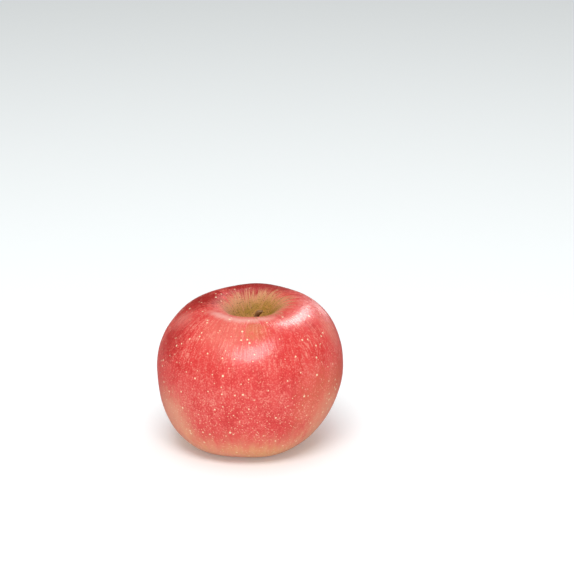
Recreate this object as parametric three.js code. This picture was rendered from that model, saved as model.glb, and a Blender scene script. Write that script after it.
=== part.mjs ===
// A whole red apple as picked, standing on its calyx end: the fruit, its short stem,
// and in the basin underneath the five dried sepals and the tuft of dried stamens.
// Millimetres, +Z up along the core. The origin is the middle of the footprint, on the
// surface that the apple stands on. -Y is its front.

import * as THREE from "three";

// ---- The fruit's own sizes --------------------------------------------------------

const fruitWidth = 86.4; // widest diameter, side to side
const fruitDepth = 85; // widest diameter, front to back
const fruitHeight = 68.1; // resting surface to the crest of the rim round the stem
const equatorHeight = 38.3; // height of the widest ring
const crestRadius = 19.8; // core axis to the crest of the rim
const cavityDepth = 16; // crest down to the floor of the stem cavity
const footRadius = 17; // core axis to the ring that the fruit stands on
const basinDepth = 9; // resting surface up to the floor of the calyx basin
const tubeRadius = 2.9; // the calyx tube, a small pit at the basin's middle
const tubeDepth = 4;

// ---- How it grew unevenly ---------------------------------------------------------

const ribAngle = THREE.MathUtils.degToRad(-62); // direction of the first rib, from +X
const ribGrowth = [1.1, 0.4, 0.9, 0.4, 0.8]; // how strongly each rib grew, one per chamber
const footSwell = 0.012; // how far a rib bulges at the foot, as a share of the radius
const equatorSwell = 0.004; // the same at the widest ring
const crestSwell = 0.06; // and at the rim
const crestRise = 0.2; // how far the rim rises on a rib
const valleyLift = 0.4; // how far the foot ring rises between two ribs
const shoulderRise = 3.4; // how far the high shoulder stands up, at the widest radius
const shoulderAngle = THREE.MathUtils.degToRad(74); // direction of that shoulder, from +X
const footOffset = -2.2; // how far the foot grew off the core, along X
const rimOffset = 0.85; // the same of the rim
const footFlat = 0.4; // how far the fruit's weight flattens its foot ring

// ---- Stem, sepals and stamens -----------------------------------------------------

const clearance = 0.35; // gap between the fruit and each piece seated in it
const stemRootRadius = 1.6; // where the stem enters the fruit
const stemNeckRadius = 1.15; // the thinnest place of the stem
const stemTipRadius = 1.6; // the swollen end where it left the twig
const stemTipChamfer = 0.4;
const stemLength = 13; // cavity floor to the tip
const stemRootDepth = 3; // how deep the root sits below the cavity floor
const stemBend = 5.5; // how far the tip leans from the root
const stemBendAngle = THREE.MathUtils.degToRad(-15); // direction of that lean, from +X
const sepalLength = 6.5;
const sepalWidth = 3.2; // at the sepal's foot
const sepalTipWidth = 0.6;
const sepalThickness = 0.7;
const sepalCurl = 2.4; // how far a sepal's tip curls outwards
const sepalDrop = 0.55; // how far below the basin's middle a sepal is seated
const tuftNeckRadius = 1.3; // the stamens where they leave the tube
const tuftSpread = 1.9; // and at their free ends
const tuftReach = 4; // how far they stand out of the tube

// ---- Fineness of the facets -------------------------------------------------------

const turns = 60; // facets round the fruit, a multiple of the ribs
const funnelSteps = 12;
const shoulderSteps = 12;
const flankSteps = 16;
const basinSteps = 10;
const stemFacets = 12;
const stemSteps = 8;

// Fullness of the outline's round stretches: how far a curve's handles reach, as a share
// of the way from one key point to the next. 0.55 is a quarter of an ellipse.
const funnelFloorFullness = 0.2;
const funnelCrestFullness = 0.56;
const shoulderCrestFullness = 0.57;
const shoulderEquatorFullness = 0.52;
const flankEquatorFullness = 0.4;
const flankFootFullness = 0.68;
const basinFootFullness = 0.42;
const basinFloorFullness = 0.35;

// A curve from one key point to the next that leaves and arrives along the given ways.
function roundStretch(from, fromWay, to, toWay) {
  const leaving = from.clone().add(fromWay);
  const arriving = to.clone().sub(toWay);
  return new THREE.CubicBezierCurve(from, leaving, arriving, to);
}

// The fruit's half outline from the stem socket over the rim and down to the calyx tube:
// x is the distance from the core's axis and y the height.
function fruitOutline() {
  const fruitRadius = fruitWidth / 2;
  const cavityFloor = fruitHeight - cavityDepth;
  const socketRadius = stemRootRadius + clearance;
  const socketFloor = cavityFloor - stemRootDepth - clearance;
  const floorEdge = new THREE.Vector2(socketRadius, cavityFloor);
  const crest = new THREE.Vector2(crestRadius, fruitHeight);
  const equator = new THREE.Vector2(fruitRadius, equatorHeight);
  const foot = new THREE.Vector2(footRadius, -footFlat);
  const tubeMouth = new THREE.Vector2(tubeRadius, basinDepth);
  const out = (distance) => new THREE.Vector2(distance, 0);
  const up = (distance) => new THREE.Vector2(0, distance);
  const funnelRun = crest.x - floorEdge.x;
  const shoulderRun = equator.x - crest.x;
  const shoulderDrop = crest.y - equator.y;
  const flankRun = equator.x - foot.x;
  const flankDrop = equator.y - foot.y;
  const basinRun = foot.x - tubeMouth.x;

  const funnel = roundStretch(
    floorEdge,
    crest.clone().sub(floorEdge).multiplyScalar(funnelFloorFullness),
    crest,
    out(funnelRun * funnelCrestFullness),
  );
  const shoulder = roundStretch(
    crest,
    out(shoulderRun * shoulderCrestFullness),
    equator,
    up(-shoulderDrop * shoulderEquatorFullness),
  );
  const flank = roundStretch(
    equator,
    up(-flankDrop * flankEquatorFullness),
    foot,
    out(-flankRun * flankFootFullness),
  );
  const basin = roundStretch(
    foot,
    out(-basinRun * basinFootFullness),
    tubeMouth,
    out(-basinRun * basinFloorFullness),
  );
  return [
    new THREE.Vector2(0, socketFloor),
    new THREE.Vector2(socketRadius, socketFloor),
    ...funnel.getPoints(funnelSteps),
    ...shoulder.getPoints(shoulderSteps).slice(1),
    ...flank.getPoints(flankSteps).slice(1),
    ...basin.getPoints(basinSteps).slice(1),
    new THREE.Vector2(tubeRadius, basinDepth + tubeDepth),
    new THREE.Vector2(0, basinDepth + tubeDepth),
  ];
}

// A solid of revolution about +Z. The outline runs from its top round to its bottom.
function turned(outline, facets) {
  const geometry = new THREE.LatheGeometry(outline.toReversed(), facets);
  return geometry.rotateX(Math.PI / 2);
}

// Moves every vertex of a geometry by a function that changes a THREE.Vector3 in place.
function reshape(geometry, change) {
  const position = geometry.getAttribute("position");
  const vertex = new THREE.Vector3();
  for (let i = 0; i < position.count; i++) {
    vertex.fromBufferAttribute(position, i);
    change(vertex);
    position.setXYZ(i, vertex.x, vertex.y, vertex.z);
  }
  return geometry;
}

// How far the skin bulges over the ribs in a direction: a rib's own growth on its ridge,
// and 0 in the valleys between the ribs.
function swellAt(angle) {
  const count = ribGrowth.length;
  const place = ((angle - ribAngle) * count) / (2 * Math.PI) + 0.5;
  const rib = Math.floor(THREE.MathUtils.euclideanModulo(place, count)) % count;
  const acrossRib = THREE.MathUtils.euclideanModulo(place, 1);
  return (ribGrowth[rib] * (1 - Math.cos(2 * Math.PI * acrossRib))) / 2;
}

// The foot's offset, which the small pieces follow too, so that all stay seated.
function followCore(vertex) {
  vertex.x += footOffset * (1 - THREE.MathUtils.smoothstep(vertex.z, 0, equatorHeight));
}

// Ribs, high shoulder, flattened foot and its offset. The middle of either hollow stays
// as it is, because the stem, the sepals and the stamens sit there.
function growUnevenly(vertex) {
  const radius = Math.hypot(vertex.x, vertex.y);
  const angle = Math.atan2(vertex.y, vertex.x);
  const swell = swellAt(angle);
  const low = 1 - THREE.MathUtils.smoothstep(vertex.z, 0, equatorHeight);
  const high = THREE.MathUtils.smoothstep(vertex.z, equatorHeight, fruitHeight);
  const coreRadius = Math.max(tubeRadius, stemRootRadius + clearance);
  const offCore = THREE.MathUtils.smoothstep(radius, coreRadius, footRadius);
  const share =
    equatorSwell + (footSwell - equatorSwell) * low + (crestSwell - equatorSwell) * high ** 3;
  const spread = 1 + share * (swell - 0.5) * offCore;
  const uphill = (radius * Math.cos(angle - shoulderAngle)) / (fruitWidth / 2);

  vertex.x *= spread;
  vertex.y *= spread * THREE.MathUtils.lerp(1, fruitDepth / fruitWidth, offCore);
  vertex.z += valleyLift * low * offCore * (1 - swell);
  vertex.z += high * offCore * (crestRise * (swell - 0.5) + shoulderRise * uphill);
  vertex.x += rimOffset * high * offCore;
  vertex.z = Math.max(vertex.z, 0); // the flat that it stands on
  followCore(vertex);
}

function fruitGeometry() {
  return reshape(turned(fruitOutline(), turns), growUnevenly);
}

// A round stem with a swollen root and tip, bent more and more towards its tip.
function stemGeometry() {
  const cavityFloor = fruitHeight - cavityDepth;
  const root = cavityFloor - stemRootDepth;
  const tip = cavityFloor + stemLength;
  const side = new THREE.SplineCurve([
    new THREE.Vector2(stemRootRadius, cavityFloor),
    new THREE.Vector2(stemNeckRadius, cavityFloor + stemLength * 0.3),
    new THREE.Vector2(stemNeckRadius, cavityFloor + stemLength * 0.65),
    new THREE.Vector2(stemTipRadius, tip - stemTipChamfer),
  ]);
  const outline = [
    new THREE.Vector2(0, tip),
    new THREE.Vector2(stemTipRadius - stemTipChamfer, tip),
    ...side.getPoints(stemSteps).toReversed(),
    new THREE.Vector2(stemRootRadius, root),
    new THREE.Vector2(0, root),
  ];
  return reshape(turned(outline, stemFacets), (vertex) => {
    const along = Math.max(0, vertex.z - cavityFloor) / stemLength;
    vertex.x += stemBend * along ** 2 * Math.cos(stemBendAngle);
    vertex.y += stemBend * along ** 2 * Math.sin(stemBendAngle);
    followCore(vertex);
  });
}

// One sepal, seated beside the calyx tube and hanging from the basin's floor: a thin
// tapering leaf whose tip curls outwards.
function sepalGeometry(angle) {
  const coreAxis = new THREE.Vector3(0, 0, 1);
  const seat = basinDepth - sepalDrop;
  const standOff = tubeRadius + sepalThickness / 2;
  const leaf = new THREE.BoxGeometry(sepalThickness, sepalWidth, sepalLength, 1, 2, 7);
  return reshape(leaf, (vertex) => {
    const along = 0.5 - vertex.z / sepalLength; // 0 at the foot and 1 at the tip
    vertex.y *= THREE.MathUtils.lerp(1, sepalTipWidth / sepalWidth, along ** 1.5);
    vertex.x += standOff + sepalCurl * along ** 2;
    vertex.z = seat - along * sepalLength;
    vertex.applyAxisAngle(coreAxis, angle);
    followCore(vertex);
  });
}

// The stamens as one tuft: it fills the calyx tube, narrows where it leaves the tube and
// spreads to its free ends.
function tuftGeometry() {
  const root = basinDepth + tubeDepth - clearance;
  const outline = [
    new THREE.Vector2(0, root),
    new THREE.Vector2(tubeRadius - clearance, root),
    new THREE.Vector2(tuftNeckRadius, basinDepth),
    new THREE.Vector2(tuftSpread, basinDepth - tuftReach),
    new THREE.Vector2(0, basinDepth - tuftReach),
  ];
  return reshape(turned(outline, stemFacets), followCore);
}

// ---- Materials --------------------------------------------------------------------

function material(color, roughness) {
  return new THREE.MeshStandardMaterial({ color, roughness, metalness: 0 });
}

const skin = material(0xd8453f, 0.38);
const bark = material(0x5f3a22, 0.75);
const driedLeaf = material(0x6b5230, 0.85);
const driedThread = material(0x3f2a1a, 0.9);

// ---- The apple --------------------------------------------------------------------

const apple = new THREE.Group();

function addPiece(name, geometry, finish) {
  const mesh = new THREE.Mesh(geometry, finish);
  mesh.name = name;
  apple.add(mesh);
}

addPiece("fruit", fruitGeometry(), skin);
addPiece("stem", stemGeometry(), bark);
for (let i = 0; i < ribGrowth.length; i++) {
  const valleyAngle = ribAngle + ((i + 0.5) * 2 * Math.PI) / ribGrowth.length;
  addPiece(`sepal_${i + 1}`, sepalGeometry(valleyAngle), driedLeaf);
}
addPiece("stamens", tuftGeometry(), driedThread);

// The footprint's middle goes to the origin.
const middle = new THREE.Box3().setFromObject(apple).getCenter(new THREE.Vector3());
apple.position.set(-middle.x, -middle.y, 0);

export default apple;
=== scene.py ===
import math
import random

import bpy
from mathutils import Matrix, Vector


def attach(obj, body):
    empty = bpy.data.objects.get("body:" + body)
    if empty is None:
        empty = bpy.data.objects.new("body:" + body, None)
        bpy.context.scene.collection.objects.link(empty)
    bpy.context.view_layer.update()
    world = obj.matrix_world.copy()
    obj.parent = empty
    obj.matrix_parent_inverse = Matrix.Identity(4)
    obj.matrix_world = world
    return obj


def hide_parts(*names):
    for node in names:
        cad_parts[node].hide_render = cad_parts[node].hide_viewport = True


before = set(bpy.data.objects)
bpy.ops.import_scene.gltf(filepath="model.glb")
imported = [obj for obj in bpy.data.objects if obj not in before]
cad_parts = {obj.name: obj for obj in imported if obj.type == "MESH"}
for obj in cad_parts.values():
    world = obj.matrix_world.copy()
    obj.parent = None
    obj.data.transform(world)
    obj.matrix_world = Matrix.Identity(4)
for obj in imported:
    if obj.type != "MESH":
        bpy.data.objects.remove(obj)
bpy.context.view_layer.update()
mm = 0.001

cameraSetup = {
    "looks at": (0.0, 0.0, 37 * mm),
    "distance": 0.9,
    "elevation": 20,
    "lens": 122.0,
    "sensor": 36,
    "near limit": 0.05,
    "aim right": 17.3 * mm,  # the apple stands left of and below the frame's middle
    "aim up": 36.5 * mm,
}


def placeCamera():
    setup = cameraSetup
    target = Vector(setup["looks at"])
    tilt = math.radians(setup["elevation"])
    back = Vector((0, -math.cos(tilt), math.sin(tilt)))
    up = Vector((0, math.sin(tilt), math.cos(tilt)))
    bpy.ops.object.camera_add()
    camera = bpy.context.object
    camera.name = "camera"
    camera.data.lens = setup["lens"]
    camera.data.sensor_width = setup["sensor"]
    camera.data.clip_start = setup["near limit"]
    camera.location = target + back * setup["distance"]
    aim = target + Vector((setup["aim right"], 0, 0)) + up * setup["aim up"]
    camera.rotation_mode = "QUATERNION"
    camera.rotation_quaternion = (aim - camera.location).to_track_quat("-Z", "Y")
    bpy.context.scene.camera = camera


placeCamera()
print("camera placed")


class Wire:  # one output of a node, which Python's operators can work with
    def __init__(self, finish, socket):
        self.finish = finish
        self.socket = socket

    def worked(self, operation, first, second):
        return self.finish.node("ShaderNodeMath", {"operation": operation}, {0: first, 1: second})

    def __add__(self, other):
        return self.worked("ADD", self, other)

    def __radd__(self, other):
        return self.worked("ADD", other, self)

    def __sub__(self, other):
        return self.worked("SUBTRACT", self, other)

    def __rsub__(self, other):
        return self.worked("SUBTRACT", other, self)

    def __mul__(self, other):
        return self.worked("MULTIPLY", self, other)

    def __rmul__(self, other):
        return self.worked("MULTIPLY", other, self)

    def __pow__(self, other):
        return self.worked("POWER", self, other)

    def output(self, key):  # another output of the same node
        return Wire(self.finish, self.socket.node.outputs[key])


class Finish:  # a material, made from nodes and from expressions on them
    def __init__(self, name):
        self.material = bpy.data.materials.new(name)
        self.material.use_nodes = True
        self.tree = self.material.node_tree
        self.tree.nodes.clear()

    def node(self, kind, settings, inputs, output=0):
        made = self.tree.nodes.new(kind)
        for key, value in settings.items():
            setattr(made, key, value)
        for key, value in inputs.items():
            if isinstance(value, Wire):
                self.tree.links.new(value.socket, made.inputs[key])
            else:
                made.inputs[key].default_value = value
        return Wire(self, made.outputs[output]) if made.outputs else None

    def vectors(self, operation, inputs, output=0):
        return self.node("ShaderNodeVectorMath", {"operation": operation}, inputs, output)

    def place(self):  # the surface's own place, in millimetres
        own = self.node("ShaderNodeTexCoord", {}, {}, "Object")
        return self.vectors("SCALE", {0: own, "Scale": 1 / mm})

    def vector(self, x, y, z):
        return self.node("ShaderNodeCombineXYZ", {}, {0: x, 1: y, 2: z})

    def noise(self, place, size, detail=2.0, roughness=0.5):
        return self.node("ShaderNodeTexNoise", {"noise_dimensions": "3D"}, {
            "Vector": place,
            "Scale": 1 / size,
            "Detail": detail,
            "Roughness": roughness,
        })

    def cells(self, place, size):  # the distance to the nearest of many scattered points
        settings = {"voronoi_dimensions": "3D", "feature": "F1"}
        return self.node("ShaderNodeTexVoronoi", settings, {"Vector": place, "Scale": 1 / size})

    def fade(self, value, low, high):  # 0 at low and 1 at high, with soft ends
        settings = {"interpolation_type": "SMOOTHSTEP"}
        return self.node("ShaderNodeMapRange", settings, {0: value, 1: low, 2: high})

    def mixed(self, share, first, second):
        return self.node("ShaderNodeMix", {"data_type": "RGBA"}, {0: share, 6: first, 7: second}, 2)

    def clamped(self, value):
        return self.node("ShaderNodeClamp", {}, {0: value})

    def bump(self, height):  # height in millimetres
        return self.node("ShaderNodeBump", {}, {"Strength": 1.0, "Distance": mm, "Height": height})

    def close(self, values):
        shader = self.node("ShaderNodeBsdfPrincipled", {}, values)
        self.node("ShaderNodeOutputMaterial", {}, {0: shader})
        return self.material


def paint(red, green, blue):  # a display colour as the linear one that a shader takes
    def linear(part):
        part /= 255
        return part / 12.92 if part <= 0.04045 else ((part + 0.055) / 1.055) ** 2.4

    return (linear(red), linear(green), linear(blue), 1)


def hold(piece):  # makes a piece the only one selected, and the active one
    bpy.ops.object.select_all(action="DESELECT")
    piece.select_set(True)
    bpy.context.view_layer.objects.active = piece


def dropAll():
    bpy.ops.object.select_all(action="DESELECT")
    bpy.context.view_layer.objects.active = None


def pickPoints(piece, chosen):  # selects the points of a mesh for which chosen(place) is true
    bpy.ops.object.mode_set(mode="EDIT")
    bpy.ops.mesh.select_mode(type="VERT")
    bpy.ops.mesh.select_all(action="DESELECT")
    bpy.ops.object.mode_set(mode="OBJECT")
    for point in piece.data.vertices:
        point.select = chosen(point.co)
    bpy.ops.object.mode_set(mode="EDIT")


def turnPicked(degrees, axis, centre):  # counter-clockwise when looking against the axis
    bpy.ops.transform.rotate(value=-math.radians(degrees), orient_axis=axis,
                             orient_type="GLOBAL", center_override=centre)


def settle(piece):  # the place, turn and scale go into the mesh
    hold(piece)
    bpy.ops.object.transform_apply(location=True, rotation=True, scale=True)


def subdivided(piece, levels):
    hold(piece)
    modifier = piece.modifiers.new("rounded", "SUBSURF")
    modifier.levels = levels
    modifier.render_levels = levels
    bpy.ops.object.modifier_apply(modifier=modifier.name)


def roughened(piece, size, strength, group=""):  # uneven by a cloudy pattern of that size
    hold(piece)
    texture = bpy.data.textures.new(piece.name + "Clouds", "CLOUDS")
    texture.noise_scale = size
    texture.noise_depth = 2
    modifier = piece.modifiers.new("uneven", "DISPLACE")
    modifier.texture = texture
    modifier.texture_coords = "LOCAL"
    modifier.strength = strength
    modifier.mid_level = 0.5
    modifier.vertex_group = group
    bpy.ops.object.modifier_apply(modifier=modifier.name)


def finished(piece, material, slotName, *nodes):  # rides on the apple and stands for its nodes
    hold(piece)
    bpy.ops.object.shade_smooth()
    piece.data.materials.clear()
    piece.data.materials.append(material)
    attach(piece, "root")
    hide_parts(*nodes)
    dropAll()


# In the finishes, lengths are in millimetres. A pair is where a change starts and ends.
# A dictionary of patterns gives how much each of them counts.

patternLooks = {
    "noises": {  # whether it follows the streaks, size, detail, roughness
        "streaks": (True, 1.1, 3.0, 0.6),
        "fine streaks": (True, 0.3, 2.0, 0.6),
        "spikes": (True, 0.42, 1.0, 0.5),
        "clouds": (False, 11, 2.0, 0.5),
        "mottle": (False, 2.2, 3.0, 0.65),
        "flecks": (False, 0.7, 1.0, 0.5),
        "grit": (False, 0.55, 2.0, 0.7),
    },
    "streak spread": 15,  # radius of the round that the streaks are laid on
    "streak rise": 0.09,
    "upper part": (40, 60),
}


def makePatterns(skin):  # what the skin is mixed by: places, and noises that swing about 0
    looks = patternLooks
    place = skin.place()
    x = skin.node("ShaderNodeSeparateXYZ", {}, {0: place})
    y, z = x.output(1), x.output(2)
    outwards = skin.vectors("NORMALIZE", {0: skin.vector(x, y, 0.0)})
    ring = skin.vectors("SCALE", {0: outwards, "Scale": looks["streak spread"]})
    along = skin.vectors("ADD", {0: ring, 1: skin.vector(0.0, 0.0, z * looks["streak rise"])})
    patterns = {"place": place, "x": x, "y": y, "z": z}
    patterns["radius"] = (x * x + y * y) ** 0.5
    for name, (streaked, size, detail, roughness) in looks["noises"].items():
        patterns[name] = skin.noise(along if streaked else place, size, detail, roughness) - 0.5
    patterns["upper"] = skin.fade(z, *looks["upper part"])
    patterns["upper streaks"] = patterns["streaks"] * patterns["upper"]
    patterns["upper fine streaks"] = patterns["fine streaks"] * patterns["upper"]
    return patterns


def blended(patterns, shares):
    return sum(patterns[name] * share for name, share in shares.items())


blushAndPaintedLightLooks = {
    "deep": paint(210, 44, 42),
    "rose": paint(228, 72, 68),
    "rose by": {"clouds": 0.8, "streaks": 0.7, "upper streaks": 0.7, "mottle": 0.5, "flecks": 0.6},
    "rose range": (-0.45, 0.1),
    "pale": paint(242, 138, 122),
    "pale by": {"clouds": 0.5, "fine streaks": 0.4, "upper fine streaks": 1.3, "mottle": 0.6, "flecks": 1.1},
    "pale range": (-0.08, 0.42),
    "pale share": 0.9,
    "tinges and painted light": [  # place, inner and outer radius, share, colour; some are painted reflection, sheen and shade
        # paler pink below the rim: a painted reflection of the front light
        ((-11, -27, 62), 4, 16, 0.42, paint(232, 132, 112)),
        ((3, -27, 63), 2, 8, 0.4, paint(206, 140, 84)),
        ((12, -30, 60.5), 2, 10, 0.55, paint(212, 46, 42)),
        ((-3, -42, 37), 2, 13, 0.35, paint(222, 52, 50)),
        ((-25, 5, 65), 4, 14, 0.75, paint(184, 38, 32)),
        # paler pink on the left shoulder: a painted sheen
        ((-31, -6, 61), 1, 9, 0.5, paint(236, 142, 130)),
        # paler pink on the upper right edge: a painted sheen
        ((37, -8, 56), 2, 10, 0.4, paint(236, 150, 130)),
        ((41, -14, 36), 2, 16, 0.6, paint(204, 78, 44)),
        ((-20, -34, 51), 2, 12, 0.4, paint(214, 52, 50)),
        ((-38, -14, 55), 3, 15, 0.75, paint(188, 34, 34)),
        # deep red skin darkened further as painted shade on the back of the crest, here and in the next line
        ((4, 22, 68), 8, 24, 0.9, paint(164, 16, 12)),
        ((-19, 8, 67.5), 3, 13, 0.85, paint(164, 16, 12)),
        ((17, -33, 57), 2, 12, 0.35, paint(218, 50, 48)),
        ((31, -26, 30), 6, 22, 0.3, paint(232, 146, 100)),
        ((-35, -19, 20), 5, 20, 0.75, paint(238, 172, 138)),
        ((35, -17, 18), 5, 20, 0.65, paint(238, 168, 132)),
    ],
    "tinge fray": {"streaks": 9, "mottle": 15, "flecks": 5},
    "tinge flecking": 0.8,
}


def blushedWithPaintedLight(skin, patterns):
    looks = blushAndPaintedLightLooks
    rosy = skin.fade(blended(patterns, looks["rose by"]), *looks["rose range"])
    colour = skin.mixed(rosy, looks["deep"], looks["rose"])
    paler = skin.fade(blended(patterns, looks["pale by"]), *looks["pale range"])
    colour = skin.mixed(paler * looks["pale share"], colour, looks["pale"])
    fray = blended(patterns, looks["tinge fray"])
    flecking = 1 - patterns["flecks"] * looks["tinge flecking"]
    # the tinges hold painted reflection, sheen and shade as well as skin colour
    for centre, inner, outer, share, tinge in looks["tinges and painted light"]:
        away = skin.vectors("DISTANCE", {0: patterns["place"], 1: centre}, 1)
        part = (1 - skin.fade(away + fray, inner, outer)) * share
        colour = skin.mixed(part * flecking, colour, tinge)
    return colour


paintedRimHighlightLooks = {  # a painted highlight: a paler line along the front of the cavity's rim
    "pale": paint(248, 180, 168),
    "share": 0.75,
    "radius": 19.8,
    "right side out": 1.6,  # how much further out the line runs on the right
    "right side": (-4, 12),
    "wobble": 5,  # by the streaks
    "fray": {"fine streaks": 2.5, "flecks": 2.5},
    "half width": (0.2, 3.7),
    "left end": (-21, -15),
    "right end": (5, 15),
    "back end": (-13, -7),
}


# Paints a highlight along the near rim into the skin colour.
def withPaintedRimHighlight(skin, patterns, colour):
    looks = paintedRimHighlightLooks
    x, y = patterns["x"], patterns["y"]
    shift = skin.fade(x, *looks["right side"]) * looks["right side out"]
    off = patterns["radius"] - looks["radius"] - shift + patterns["streaks"] * looks["wobble"]
    off = (off * off) ** 0.5 + blended(patterns, looks["fray"])
    paintedHighlight = (1 - skin.fade(off, *looks["half width"])) * patterns["upper"]
    paintedHighlight = paintedHighlight * skin.fade(x, *looks["left end"]) * (1 - skin.fade(x, *looks["right end"]))
    paintedHighlight = paintedHighlight * (1 - skin.fade(y, *looks["back end"]))
    return skin.mixed(paintedHighlight * looks["share"], colour, looks["pale"])


groundLooks = {  # the unblushed skin low down and in the calyx basin
    "plain": paint(240, 168, 134),
    "green": paint(232, 180, 124),
    "green by": {"clouds": 1, "mottle": 0.6, "fine streaks": 0.6},
    "green range": (-0.16, 0.16),
    "share": 0.85,
    "heights": (3, 21),
    "fray": {"streaks": 14, "mottle": 10, "flecks": 6},
    "basin radii": (8, 13),
    "basin heights": (20, 30),
}


def withGround(skin, patterns, colour):
    looks = groundLooks
    low = 1 - skin.fade(patterns["z"] + blended(patterns, looks["fray"]), *looks["heights"])
    basin = 1 - skin.fade(patterns["radius"], *looks["basin radii"])
    basin = basin * (1 - skin.fade(patterns["z"], *looks["basin heights"]))
    greener = skin.fade(blended(patterns, looks["green by"]), *looks["green range"])
    ground = skin.mixed(greener, looks["plain"], looks["green"])
    return skin.mixed(skin.clamped(low * looks["share"] + basin), colour, ground)


lenticelLooks = {
    "cream": paint(255, 232, 190),
    "share": 0.9,
    "spacing": 3.0,
    "radius": (0.18, 0.56),
    "edge": (-0.16, 0.1),
    "strength": 0.95,
    "pinprick spacing": 1.3,
    "pinprick edge": (0.12, 0.34),
    "pinprick strength": 0.7,
    "fewer above": (22, 48),  # pinpricks thin out there
    "fewer by": 0.75,
    "cloud shift": 20,
}


def makeLenticels(skin, patterns):  # 1 on the pale dots of the skin, 0 between them
    looks = lenticelLooks
    spots = skin.cells(patterns["place"], looks["spacing"])
    chance = skin.node("ShaderNodeSeparateColor", {}, {0: spots.output("Color")})
    small, large = looks["radius"]
    inner, outer = looks["edge"]
    away = spots * looks["spacing"] - chance * (large - small)
    spot = 1 - skin.fade(away, small + inner, small + outer)
    away = skin.cells(patterns["place"], looks["pinprick spacing"]) * looks["pinprick spacing"]
    prick = 1 - skin.fade(away, *looks["pinprick edge"])
    height = patterns["z"] + patterns["clouds"] * looks["cloud shift"]
    prick = prick * (1 - skin.fade(height, *looks["fewer above"]) * looks["fewer by"])
    return skin.clamped(spot * looks["strength"] + prick * looks["pinprick strength"])


russetLooks = {  # the corky skin in the stem cavity, frayed outwards
    "tan": paint(186, 132, 62),
    "olive": paint(160, 120, 26),
    "olive by": {"clouds": 1, "mottle": 0.8},
    "olive range": (-0.1, 0.15),
    "pale": paint(212, 146, 104),
    "pale radii": (8, 15),
    "pale lean": -0.25,
    "deep": paint(96, 58, 26),  # painted shade on the floor of the cavity
    "shaded floor radii": (2, 6),
    "shaded floor share": 0.8,
    "dark": paint(84, 50, 20),
    "dark range": (0.05, 0.16),
    "dark share": 0.85,
    "heights": (44, 50),
    "radii": (12, 15),
    "lean": {"x": -0.18, "y": 0.06},
    "fray": {"streaks": 12, "spikes": 20, "fine streaks": 8, "clouds": 5},
    "fringe radii": (13.5, 21.5),
    "fringe by": {"spikes": 1, "fine streaks": 1},
    "fringe range": (-0.06, 0.1),
    "fringe share": 0.85,
}


def withRusset(skin, patterns, colour):  # also tells where the russet is
    looks = russetLooks
    radius = patterns["radius"]
    high = skin.fade(patterns["z"], *looks["heights"])
    inward = radius + blended(patterns, looks["lean"]) + blended(patterns, looks["fray"])
    russet = (1 - skin.fade(inward, *looks["radii"])) * high
    olive = skin.fade(blended(patterns, looks["olive by"]), *looks["olive range"])
    cork = skin.mixed(olive, looks["tan"], looks["olive"])
    paler = skin.fade(radius + patterns["x"] * looks["pale lean"], *looks["pale radii"])
    cork = skin.mixed(paler, cork, looks["pale"])
    # painted shade: the cavity floor darkens towards the stem
    shadedFloor = (1 - skin.fade(radius, *looks["shaded floor radii"])) * looks["shaded floor share"]
    cork = skin.mixed(shadedFloor, cork, looks["deep"])
    darker = skin.fade(patterns["grit"], *looks["dark range"]) * looks["dark share"]
    cork = skin.mixed(darker, cork, looks["dark"])
    fringe = (1 - skin.fade(inward, *looks["fringe radii"])) * high * looks["fringe share"]
    fringe = fringe * skin.fade(blended(patterns, looks["fringe by"]), *looks["fringe range"])
    return skin.mixed(russet, skin.mixed(fringe, colour, looks["pale"]), cork), russet


skinLooks = {
    "roughness": 0.34,
    "roughness swing": 0.12,
    "specular": 0.6,
    "coat": 0.3,
    "coat roughness": 0.22,
    "dull radii": (15, 19),  # the cavity has no gloss inside these
    "dull heights": (44, 50),
    "dull roughness": 0.32,
    "grit height": 0.2,
    "lenticel height": 0.025,
    "fleck height": 0.012,
    "streak height": 0.12,
}


def makeSkin():
    looks = skinLooks
    skin = Finish("appleSkin")
    patterns = makePatterns(skin)
    colour = blushedWithPaintedLight(skin, patterns)
    colour = withPaintedRimHighlight(skin, patterns, colour)
    colour = withGround(skin, patterns, colour)
    dots = makeLenticels(skin, patterns)
    colour = skin.mixed(dots * lenticelLooks["share"], colour, lenticelLooks["cream"])
    colour, russet = withRusset(skin, patterns, colour)
    dull = 1 - skin.fade(patterns["radius"], *looks["dull radii"])
    dull = dull * skin.fade(patterns["z"], *looks["dull heights"])
    height = patterns["grit"] * russet * looks["grit height"] + dots * looks["lenticel height"]
    height = height + patterns["flecks"] * looks["fleck height"]
    grooves = (patterns["fine streaks"] + patterns["spikes"]) * patterns["upper"]
    height = height + grooves * looks["streak height"]
    swing = patterns["mottle"] * looks["roughness swing"]
    return skin.close({
        "Base Color": colour,
        "Roughness": looks["roughness"] + dull * looks["dull roughness"] + swing,
        "Specular IOR Level": looks["specular"],
        "Coat Weight": looks["coat"] * (1 - dull),
        "Coat Roughness": looks["coat roughness"],
        "Normal": skin.bump(height),
    })


fruitShape = {
    "merge": 0.01 * mm,
    "levels": 2,
    "wave size": 14 * mm,
    "wave height": 0.5 * mm,
    "calm below": 3 * mm,  # the skin grows even towards where it rests on the table
}


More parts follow.
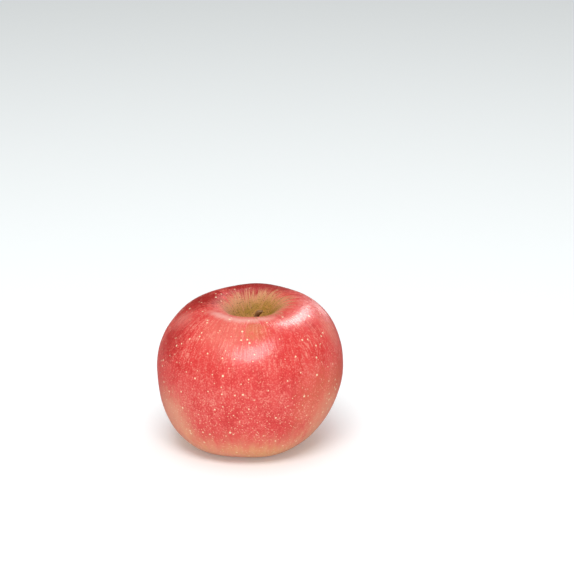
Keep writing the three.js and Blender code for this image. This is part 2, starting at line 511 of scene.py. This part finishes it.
def makeFruit():
    shape = fruitShape
    fruit = bpy.data.objects.new("appleFlesh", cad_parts["fruit"].data.copy())
    bpy.context.scene.collection.objects.link(fruit)
    hold(fruit)
    bpy.ops.object.mode_set(mode="EDIT")
    bpy.ops.mesh.select_all(action="SELECT")
    bpy.ops.mesh.remove_doubles(threshold=shape["merge"])
    bpy.ops.mesh.tris_convert_to_quads(face_threshold=math.pi, shape_threshold=math.pi)
    bpy.ops.object.mode_set(mode="OBJECT")
    if fruit.data.has_custom_normals:
        bpy.ops.mesh.customdata_custom_splitnormals_clear()
    subdivided(fruit, shape["levels"])
    free = fruit.vertex_groups.new(name="free")
    for point in fruit.data.vertices:
        free.add([point.index], min(1, point.co.z / shape["calm below"]), "REPLACE")
    roughened(fruit, shape["wave size"], shape["wave height"], "free")
    fruit.vertex_groups.clear()
    finished(fruit, makeSkin(), "skin", "fruit")


makeFruit()
print("fruit made")

stemShape = {
    "sides": 14,
    "root": (0.0, -0.06 * mm, 50.9 * mm),
    "root radius": 2.5 * mm,
    "lean": 5.0 * mm,
    "lean direction": -15,
    "rings": [  # height above the root and radius there
        (1.2 * mm, 2.0 * mm), (2.4 * mm, 1.45 * mm), (4.5 * mm, 1.2 * mm), (6.7 * mm, 1.1 * mm),
        (8.9 * mm, 1.12 * mm), (10.9 * mm, 1.2 * mm), (12.6 * mm, 1.5 * mm), (13.6 * mm, 1.55 * mm),
    ],
    "scar inset": 0.4,  # share of the tip's radius
    "scar depth": 0.5 * mm,
    "levels": 2,
    "wrinkle size": 1.1 * mm,
    "wrinkle height": 0.25 * mm,
}

barkLooks = {
    "light": paint(168, 122, 74),
    "dark": paint(124, 84, 48),
    "light range": (0.35, 0.65),
    "tip": paint(136, 96, 58),
    "tip heights": (62, 64.5),
    "tip share": 0.8,
    "fibre size": 0.35,
    "fibre stretch": 0.2,
    "fibre height": 0.2,
    "blotch size": 2.0,
    "blotch share": 0.6,
    "roughness": 0.78,
    "roughness swing": 0.2,
}


def makeBark():
    looks = barkLooks
    bark = Finish("appleBark")
    place = bark.place()
    x = bark.node("ShaderNodeSeparateXYZ", {}, {0: place})
    y, z = x.output(1), x.output(2)
    fibres = bark.noise(bark.vector(x, y, z * looks["fibre stretch"]), looks["fibre size"], 3.0, 0.6)
    blotches = bark.noise(place, looks["blotch size"]) - 0.5
    lighter = bark.fade(fibres + blotches * looks["blotch share"], *looks["light range"])
    colour = bark.mixed(lighter, looks["dark"], looks["light"])
    colour = bark.mixed(bark.fade(z, *looks["tip heights"]) * looks["tip share"], colour, looks["tip"])
    return bark.close({
        "Base Color": colour,
        "Roughness": looks["roughness"] + blotches * looks["roughness swing"],
        "Normal": bark.bump(fibres * looks["fibre height"]),
    })


def stemMiddle(above):  # the middle of the leaning stem, at a height above its root
    shape = stemShape
    direction = math.radians(shape["lean direction"])
    out = shape["lean"] * (above / shape["rings"][-1][0]) ** 2
    return Vector(shape["root"]) + Vector((out * math.cos(direction), out * math.sin(direction), above))


def makeStem():
    shape = stemShape
    dropAll()
    bpy.ops.mesh.primitive_circle_add(vertices=shape["sides"], radius=shape["root radius"],
                                      fill_type="NGON", location=shape["root"])
    stem = bpy.context.object
    stem.name = "appleStem"
    bpy.ops.object.mode_set(mode="EDIT")
    bpy.ops.mesh.select_mode(type="FACE")
    bpy.ops.mesh.select_all(action="SELECT")
    middle, size = Vector(shape["root"]), shape["root radius"]
    for above, radius in shape["rings"]:
        step = stemMiddle(above) - middle
        bpy.ops.mesh.extrude_region_move(TRANSFORM_OT_translate={"value": step})
        middle = middle + step
        bpy.ops.transform.resize(value=(radius / size,) * 3, center_override=middle)
        size = radius
    bpy.ops.mesh.inset(thickness=size * shape["scar inset"], depth=0)
    bpy.ops.transform.translate(value=(0, 0, -shape["scar depth"]))
    bpy.ops.mesh.select_all(action="SELECT")
    bpy.ops.mesh.normals_make_consistent(inside=False)
    bpy.ops.object.mode_set(mode="OBJECT")
    settle(stem)
    subdivided(stem, shape["levels"])
    roughened(stem, shape["wrinkle size"], shape["wrinkle height"])
    finished(stem, makeBark(), "bark", "stem")


makeStem()
print("stem made")

leafLooks = {
    "brown": paint(112, 82, 48),
    "grey": paint(146, 124, 92),
    "grey range": (0.35, 0.65),
    "dark": paint(58, 42, 28),
    "dark range": (0.5, 0.7),
    "blotch size": 1.6,
    "down size": 0.25,
    "down height": 0.15,
    "roughness": 0.88,
    "roughness swing": 0.1,
}


def makeDriedLeaf(name, darkShare):
    looks = leafLooks
    leaf = Finish(name)
    place = leaf.place()
    blotches = leaf.noise(place, looks["blotch size"], 3.0, 0.6)
    down = leaf.noise(place, looks["down size"], 2.0, 0.7)
    colour = leaf.mixed(leaf.fade(blotches, *looks["grey range"]), looks["brown"], looks["grey"])
    colour = leaf.mixed(leaf.fade(down, *looks["dark range"]) * darkShare, colour, looks["dark"])
    return leaf.close({
        "Base Color": colour,
        "Roughness": looks["roughness"] + (down - 0.5) * looks["roughness swing"],
        "Normal": leaf.bump(down * looks["down height"]),
    })


sepalShape = {
    "count": 5,
    "first direction": -26,
    "core": (-1.66 * mm, -0.06 * mm, 0.0),
    "seat": 8.9 * mm,
    "stand-off": 3.0 * mm,
    "length": 6.6 * mm,
    "width": 3.4 * mm,
    "thickness": 0.35 * mm,
    "rows": 7,
    "curl": 2.6 * mm,
    "tip share": 0.14,
    "taper power": 1.5,
    "keel": 0.45 * mm,
    "keel half width": 0.1 * mm,
    "levels": 2,
    "crumple size": 1.3 * mm,
    "crumple height": 0.5 * mm,
    "dark share": 0.6,
}


def shapeFirstSepal():  # hangs beside the origin, tapered, curled and creased along its middle
    shape = sepalShape
    rowStep = shape["length"] / shape["rows"]
    dropAll()
    bpy.ops.mesh.primitive_grid_add(x_subdivisions=shape["rows"], y_subdivisions=2, size=1)
    first = bpy.context.object
    first.name = "sepalLeaf1"
    bpy.ops.object.mode_set(mode="EDIT")
    bpy.ops.mesh.select_all(action="SELECT")
    bpy.ops.transform.resize(value=(shape["length"], shape["width"], 1), center_override=(0, 0, 0))
    turnPicked(90, "Y", (0, 0, 0))
    bpy.ops.transform.translate(value=(shape["stand-off"], 0, shape["seat"] - shape["length"] / 2))
    bpy.ops.object.mode_set(mode="OBJECT")
    for row in range(shape["rows"] + 1):
        height = shape["seat"] - row * rowStep
        along = row / shape["rows"]
        narrow = 1 + (shape["tip share"] - 1) * along ** shape["taper power"]
        centre = (shape["stand-off"], 0, height)
        pickPoints(first, lambda point: abs(point.z - height) < rowStep / 3)
        bpy.ops.transform.resize(value=(1, narrow, 1), center_override=centre)
        bpy.ops.transform.translate(value=(shape["curl"] * along ** 2, 0, 0))
        bpy.ops.object.mode_set(mode="OBJECT")
    pickPoints(first, lambda point: abs(point.y) < shape["keel half width"])
    bpy.ops.transform.translate(value=(shape["keel"], 0, 0))
    bpy.ops.object.mode_set(mode="OBJECT")
    hold(first)
    wall = first.modifiers.new("wall", "SOLIDIFY")
    wall.thickness = shape["thickness"]
    wall.offset = 0
    bpy.ops.object.modifier_apply(modifier=wall.name)
    subdivided(first, shape["levels"])
    roughened(first, shape["crumple size"], shape["crumple height"])
    settle(first)
    return first


def makeSepals():
    shape = sepalShape
    leaves = [shapeFirstSepal()]
    while len(leaves) < shape["count"]:
        hold(leaves[0])
        bpy.ops.object.duplicate(linked=False)
        leaves.append(bpy.context.object)
    material = makeDriedLeaf("driedSepal", shape["dark share"])
    for number, leaf in enumerate(leaves):
        leaf.name = f"sepalLeaf{number + 1}"
        hold(leaf)
        bpy.ops.object.mode_set(mode="EDIT")
        bpy.ops.mesh.select_all(action="SELECT")
        turnPicked(shape["first direction"] + number * 360 / shape["count"], "Z", (0, 0, 0))
        bpy.ops.transform.translate(value=shape["core"])
        bpy.ops.mesh.normals_make_consistent(inside=False)
        bpy.ops.object.mode_set(mode="OBJECT")
        finished(leaf, material, "dried_sepal", f"sepal_{number + 1}")


makeSepals()
print("sepals made")

tuftShape = {
    "count": 18,
    "core": (-1.66 * mm, -0.06 * mm, 0.0),
    "root height": 12.4 * mm,
    "tip height": 5.3 * mm,
    "length share": (0.82, 1.0),
    "root offset": (0, 1.02 * mm),
    "lean": (2, 14),
    "turn": 137.5,  # from each thread to the next
    "thread sides": 5,
    "thread radius": 0.13 * mm,
    "knob radius": 0.3 * mm,
    "knob shape": (0.8, 0.8, 1.3),
    "seed": 4,
    "dark share": 0.95,
}


def makeThread(number, chance):
    shape = tuftShape
    top = shape["root height"]
    reach = (top - shape["tip height"]) * chance.uniform(*shape["length share"])
    dropAll()
    bpy.ops.mesh.primitive_cylinder_add(vertices=shape["thread sides"], radius=shape["thread radius"],
                                        depth=reach, location=(0, 0, top - reach / 2))
    thread = bpy.context.object
    bpy.ops.mesh.primitive_ico_sphere_add(subdivisions=1, radius=shape["knob radius"],
                                          location=(0, 0, top - reach))
    bpy.context.object.scale = shape["knob shape"]
    thread.select_set(True)
    bpy.context.view_layer.objects.active = thread
    bpy.ops.object.join()
    settle(thread)
    bpy.ops.object.mode_set(mode="EDIT")
    bpy.ops.mesh.select_all(action="SELECT")
    turnPicked(-chance.uniform(*shape["lean"]), "Y", (0, 0, top))
    bpy.ops.transform.translate(value=(chance.uniform(*shape["root offset"]), 0, 0))
    turnPicked(number * shape["turn"], "Z", (0, 0, 0))
    bpy.ops.transform.translate(value=shape["core"])
    bpy.ops.object.mode_set(mode="OBJECT")
    return thread


def makeTuft():
    shape = tuftShape
    chance = random.Random(shape["seed"])
    threads = [makeThread(number, chance) for number in range(shape["count"])]
    dropAll()
    for thread in threads:
        thread.select_set(True)
    bpy.context.view_layer.objects.active = threads[0]
    bpy.ops.object.join()
    tuft = bpy.context.object
    tuft.name = "stamenTuft"
    settle(tuft)
    finished(tuft, makeDriedLeaf("driedStamen", shape["dark share"]), "dried_stamen", "stamens")


makeTuft()
print("stamens made")

studio = {
    "floor size": 6.0,
    "floor": (0.9, 0.945, 0.95, 1),  # a touch cool, against the red that the skin throws on it
    "floor in gloss": paint(150, 70, 60),  # what the skin mirrors: the fruit lies among others
    "floor roughness": 0.9,
    "floor glow": 0.13,
    "surround": (0.4, 0.4, 0.4, 1),
    "surround in gloss": (0.16, 0.07, 0.06, 1),
    "boxes": [  # width and height are in metres; power is in watts
        {"name": "frontBox", "shape": "ELLIPSE", "azimuth": -4, "elevation": 56, "distance": 1.2,
         "width": 0.68, "height": 0.42, "power": 6.9, "lights": True, "mirrored": True},
        {"name": "topBox", "shape": "RECTANGLE", "azimuth": 0, "elevation": 89, "distance": 1.4,
         "width": 1.4, "height": 1.4, "power": 7.8, "lights": True, "mirrored": False},
        {"name": "frontFill", "shape": "RECTANGLE", "azimuth": 0, "elevation": 18, "distance": 1.6,
         "width": 2.0, "height": 0.8, "power": 3.2, "lights": True, "mirrored": False},
        {"name": "rimBox", "shape": "RECTANGLE", "azimuth": 149, "elevation": 47, "distance": 1.2,
         "width": 0.3, "height": 0.6, "power": 6, "lights": False, "mirrored": True},
        {"name": "sideGlow", "shape": "RECTANGLE", "azimuth": 156, "elevation": 9, "distance": 1.2,
         "width": 0.34, "height": 0.3, "power": 0.8, "lights": False, "mirrored": True},
    ],
}


def layFloor():
    setup = studio
    dropAll()
    bpy.ops.mesh.primitive_plane_add(size=setup["floor size"])
    floor = bpy.context.object
    floor.name = "floor"
    paper = Finish("whitePaper")
    inGloss = paper.node("ShaderNodeLightPath", {}, {}, "Is Glossy Ray")
    floor.data.materials.append(paper.close({
        "Base Color": paper.mixed(inGloss, setup["floor"], setup["floor in gloss"]),
        "Roughness": setup["floor roughness"],
        "Specular IOR Level": 0.0,
        "Emission Color": (1, 1, 1, 1),
        "Emission Strength": setup["floor glow"],
    }))


def paintSurround():
    setup = studio
    world = bpy.data.worlds.new("studio")
    bpy.context.scene.world = world
    world.use_nodes = True
    tree = world.node_tree
    path = tree.nodes.new("ShaderNodeLightPath")
    blend = tree.nodes.new("ShaderNodeMix")
    blend.data_type = "RGBA"
    blend.inputs[6].default_value = setup["surround"]
    blend.inputs[7].default_value = setup["surround in gloss"]
    tree.links.new(path.outputs["Is Glossy Ray"], blend.inputs[0])
    tree.links.new(blend.outputs[2], tree.nodes["Background"].inputs["Color"])


def hangBox(box):
    around, up = math.radians(box["azimuth"]), math.radians(box["elevation"])
    back = Vector((math.sin(around) * math.cos(up), -math.cos(around) * math.cos(up), math.sin(up)))
    bpy.ops.object.light_add(type="AREA")
    lamp = bpy.context.object
    lamp.name = box["name"]
    lamp.data.shape = box["shape"]
    lamp.data.size = box["width"]
    lamp.data.size_y = box["height"]
    lamp.data.energy = box["power"]
    lamp.visible_diffuse = box["lights"]
    lamp.visible_glossy = box["mirrored"]
    lamp.location = Vector(cameraSetup["looks at"]) + back * box["distance"]
    lamp.rotation_mode = "QUATERNION"
    lamp.rotation_quaternion = (-back).to_track_quat("-Z", "Y")


def buildStudio():
    layFloor()
    paintSurround()
    for box in studio["boxes"]:
        hangBox(box)
    dropAll()
    view = bpy.context.scene.view_settings
    view.view_transform = "Standard"
    view.look = "None"


buildStudio()
print("studio built")
